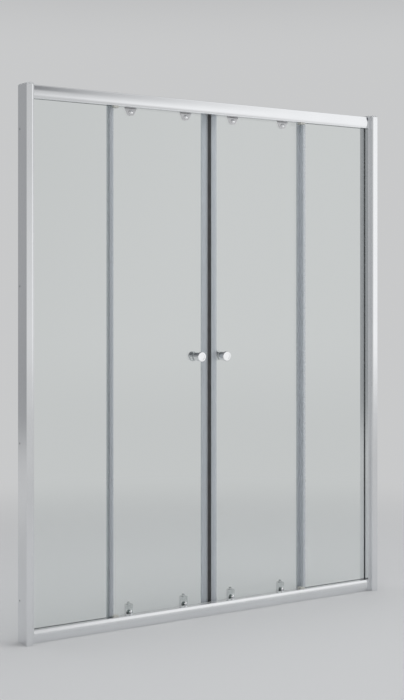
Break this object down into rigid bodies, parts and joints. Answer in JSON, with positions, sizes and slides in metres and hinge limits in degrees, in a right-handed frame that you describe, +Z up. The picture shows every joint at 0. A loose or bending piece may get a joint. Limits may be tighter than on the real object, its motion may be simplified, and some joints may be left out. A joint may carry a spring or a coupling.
{
  "type": "sliding shower door",
  "caption": "Framed alcove shower door: fixed glass at both ends and glass doors that slide apart from a magnetic meeting edge on grooved rollers.",
  "frame": {"origin": "middle of the bottom rail's underside, in the plane of the glazing slot's rear face", "axes": "+Z up, +X along the door to the right seen from the room, +Y into the shower"},
  "size_m": [1.5, 0.084, 1.85],
  "materials": {
    "polished_aluminium": "bright polished",
    "chrome_fittings": "mirror chrome",
    "clear_glass": "clear toughened, smooth",
    "clear_pvc": "translucent, smooth",
    "clip_plastic": "satin",
    "magnet_black": "matt",
    "gasket_grey": "matt",
    "cover_grey": "satin",
    "roller_nylon": "smooth, slightly waxy",
    "release_plastic": "moulded, semi-gloss",
    "bracket_steel": "pressed stainless",
    "screw_steel": "stainless",
    "cap_plastic": "silver moulded",
    "stop_rubber": "matt"
  },
  "bodies": {
    "frame": {"bottom_rail": "polished_aluminium", "channel_screws": "screw_steel", "corner_screws": "screw_steel", "door_stops": "stop_rubber", "fixed_edge_strips": "clear_pvc", "glass_clips": "clip_plastic", "header_rail": "polished_aluminium", "jamb_end_caps": "cap_plastic", "jamb_gaskets": "gasket_grey", "left_fixed_glass": "clear_glass", "left_jamb_post": "polished_aluminium", "left_wall_channel": "polished_aluminium", "rail_gaskets": "gasket_grey", "right_fixed_glass": "clear_glass", "right_jamb_post": "polished_aluminium", "right_wall_channel": "polished_aluminium", "screw_caps": "cap_plastic", "slot_cover_strips": "cover_grey"},
    "left_door": {"left_axle_pins": "screw_steel", "left_door_glass": "clear_glass", "left_inner_knob": "chrome_fittings", "left_inner_release_spring": "screw_steel", "left_knob_bushes": "clear_pvc", "left_magnet_carrier": "clear_pvc", "left_magnet_strip": "magnet_black", "left_outer_knob": "chrome_fittings", "left_outer_release_spring": "screw_steel", "left_rear_seal": "clear_pvc", "left_release_housings": "release_plastic", "left_roller_bolts": "chrome_fittings", "left_top_brackets": "bracket_steel"},
    "right_door": {"right_axle_pins": "screw_steel", "right_door_glass": "clear_glass", "right_inner_knob": "chrome_fittings", "right_inner_release_spring": "screw_steel", "right_knob_bushes": "clear_pvc", "right_magnet_carrier": "clear_pvc", "right_magnet_strip": "magnet_black", "right_outer_knob": "chrome_fittings", "right_outer_release_spring": "screw_steel", "right_rear_seal": "clear_pvc", "right_release_housings": "release_plastic", "right_roller_bolts": "chrome_fittings", "right_top_brackets": "bracket_steel"},
    "left_top_wheel_1": {"left_top_wheel_1": "roller_nylon"},
    "left_top_wheel_2": {"left_top_wheel_2": "roller_nylon"},
    "left_top_wheel_3": {"left_top_wheel_3": "roller_nylon"},
    "left_top_wheel_4": {"left_top_wheel_4": "roller_nylon"},
    "left_inner_slider": {"left_inner_release_slider": "release_plastic"},
    "left_inner_bottom_wheel": {"left_inner_bottom_wheel": "roller_nylon"},
    "left_outer_slider": {"left_outer_release_slider": "release_plastic"},
    "left_outer_bottom_wheel": {"left_outer_bottom_wheel": "roller_nylon"},
    "right_top_wheel_1": {"right_top_wheel_1": "roller_nylon"},
    "right_top_wheel_2": {"right_top_wheel_2": "roller_nylon"},
    "right_top_wheel_3": {"right_top_wheel_3": "roller_nylon"},
    "right_top_wheel_4": {"right_top_wheel_4": "roller_nylon"},
    "right_inner_slider": {"right_inner_release_slider": "release_plastic"},
    "right_inner_bottom_wheel": {"right_inner_bottom_wheel": "roller_nylon"},
    "right_outer_slider": {"right_outer_release_slider": "release_plastic"},
    "right_outer_bottom_wheel": {"right_outer_bottom_wheel": "roller_nylon"}
  },
  "joints": [
    {"name": "left_door_slide", "type": "slide", "parent": "frame", "child": "left_door", "axis": [-1, 0, 0], "range_m": [0, 0.28]},
    {"name": "left_top_wheel_1_spin", "type": "hinge", "parent": "left_door", "child": "left_top_wheel_1", "pos_m": [-0.082, 0.0058, 1.8205], "axis": [0, -1, 0], "range_deg": [0, 1957]},
    {"name": "left_top_wheel_2_spin", "type": "hinge", "parent": "left_door", "child": "left_top_wheel_2", "pos_m": [-0.122, 0.0058, 1.8205], "axis": [0, -1, 0], "range_deg": [0, 1957]},
    {"name": "left_top_wheel_3_spin", "type": "hinge", "parent": "left_door", "child": "left_top_wheel_3", "pos_m": [-0.308, 0.0058, 1.8205], "axis": [0, -1, 0], "range_deg": [0, 1957]},
    {"name": "left_top_wheel_4_spin", "type": "hinge", "parent": "left_door", "child": "left_top_wheel_4", "pos_m": [-0.348, 0.0058, 1.8205], "axis": [0, -1, 0], "range_deg": [0, 1957]},
    {"name": "left_inner_release", "type": "slide", "parent": "left_door", "child": "left_inner_slider", "axis": [0, 0, -1], "range_m": [0, 0.006], "stiffness_N_per_m": 800, "springref_m": -0.004, "deforming": ["left_inner_release_spring"]},
    {"name": "left_inner_bottom_wheel_spin", "type": "hinge", "parent": "left_inner_slider", "child": "left_inner_bottom_wheel", "pos_m": [-0.102, 0.0058, 0.0255], "axis": [0, 1, 0], "range_deg": [0, 1957]},
    {"name": "left_outer_release", "type": "slide", "parent": "left_door", "child": "left_outer_slider", "axis": [0, 0, -1], "range_m": [0, 0.006], "stiffness_N_per_m": 800, "springref_m": -0.004, "deforming": ["left_outer_release_spring"]},
    {"name": "left_outer_bottom_wheel_spin", "type": "hinge", "parent": "left_outer_slider", "child": "left_outer_bottom_wheel", "pos_m": [-0.328, 0.0058, 0.0255], "axis": [0, 1, 0], "range_deg": [0, 1957]},
    {"name": "right_door_slide", "type": "slide", "parent": "frame", "child": "right_door", "axis": [1, 0, 0], "range_m": [0, 0.28]},
    {"name": "right_top_wheel_1_spin", "type": "hinge", "parent": "right_door", "child": "right_top_wheel_1", "pos_m": [0.082, 0.0058, 1.8205], "axis": [0, 1, 0], "range_deg": [0, 1957]},
    {"name": "right_top_wheel_2_spin", "type": "hinge", "parent": "right_door", "child": "right_top_wheel_2", "pos_m": [0.122, 0.0058, 1.8205], "axis": [0, 1, 0], "range_deg": [0, 1957]},
    {"name": "right_top_wheel_3_spin", "type": "hinge", "parent": "right_door", "child": "right_top_wheel_3", "pos_m": [0.308, 0.0058, 1.8205], "axis": [0, 1, 0], "range_deg": [0, 1957]},
    {"name": "right_top_wheel_4_spin", "type": "hinge", "parent": "right_door", "child": "right_top_wheel_4", "pos_m": [0.348, 0.0058, 1.8205], "axis": [0, 1, 0], "range_deg": [0, 1957]},
    {"name": "right_inner_release", "type": "slide", "parent": "right_door", "child": "right_inner_slider", "axis": [0, 0, -1], "range_m": [0, 0.006], "stiffness_N_per_m": 800, "springref_m": -0.004, "deforming": ["right_inner_release_spring"]},
    {"name": "right_inner_bottom_wheel_spin", "type": "hinge", "parent": "right_inner_slider", "child": "right_inner_bottom_wheel", "pos_m": [0.102, 0.0058, 0.0255], "axis": [0, -1, 0], "range_deg": [0, 1957]},
    {"name": "right_outer_release", "type": "slide", "parent": "right_door", "child": "right_outer_slider", "axis": [0, 0, -1], "range_m": [0, 0.006], "stiffness_N_per_m": 800, "springref_m": -0.004, "deforming": ["right_outer_release_spring"]},
    {"name": "right_outer_bottom_wheel_spin", "type": "hinge", "parent": "right_outer_slider", "child": "right_outer_bottom_wheel", "pos_m": [0.328, 0.0058, 0.0255], "axis": [0, -1, 0], "range_deg": [0, 1957]}
  ],
  "couplings": [
    {"joint": "left_top_wheel_1_spin", "follows": "left_door_slide", "rad_per_m": 121.95},
    {"joint": "left_top_wheel_2_spin", "follows": "left_door_slide", "rad_per_m": 121.95},
    {"joint": "left_top_wheel_3_spin", "follows": "left_door_slide", "rad_per_m": 121.95},
    {"joint": "left_top_wheel_4_spin", "follows": "left_door_slide", "rad_per_m": 121.95},
    {"joint": "left_inner_bottom_wheel_spin", "follows": "left_door_slide", "rad_per_m": 121.95},
    {"joint": "left_outer_bottom_wheel_spin", "follows": "left_door_slide", "rad_per_m": 121.95},
    {"joint": "right_top_wheel_1_spin", "follows": "right_door_slide", "rad_per_m": 121.95},
    {"joint": "right_top_wheel_2_spin", "follows": "right_door_slide", "rad_per_m": 121.95},
    {"joint": "right_top_wheel_3_spin", "follows": "right_door_slide", "rad_per_m": 121.95},
    {"joint": "right_top_wheel_4_spin", "follows": "right_door_slide", "rad_per_m": 121.95},
    {"joint": "right_inner_bottom_wheel_spin", "follows": "right_door_slide", "rad_per_m": 121.95},
    {"joint": "right_outer_bottom_wheel_spin", "follows": "right_door_slide", "rad_per_m": 121.95}
  ]
}
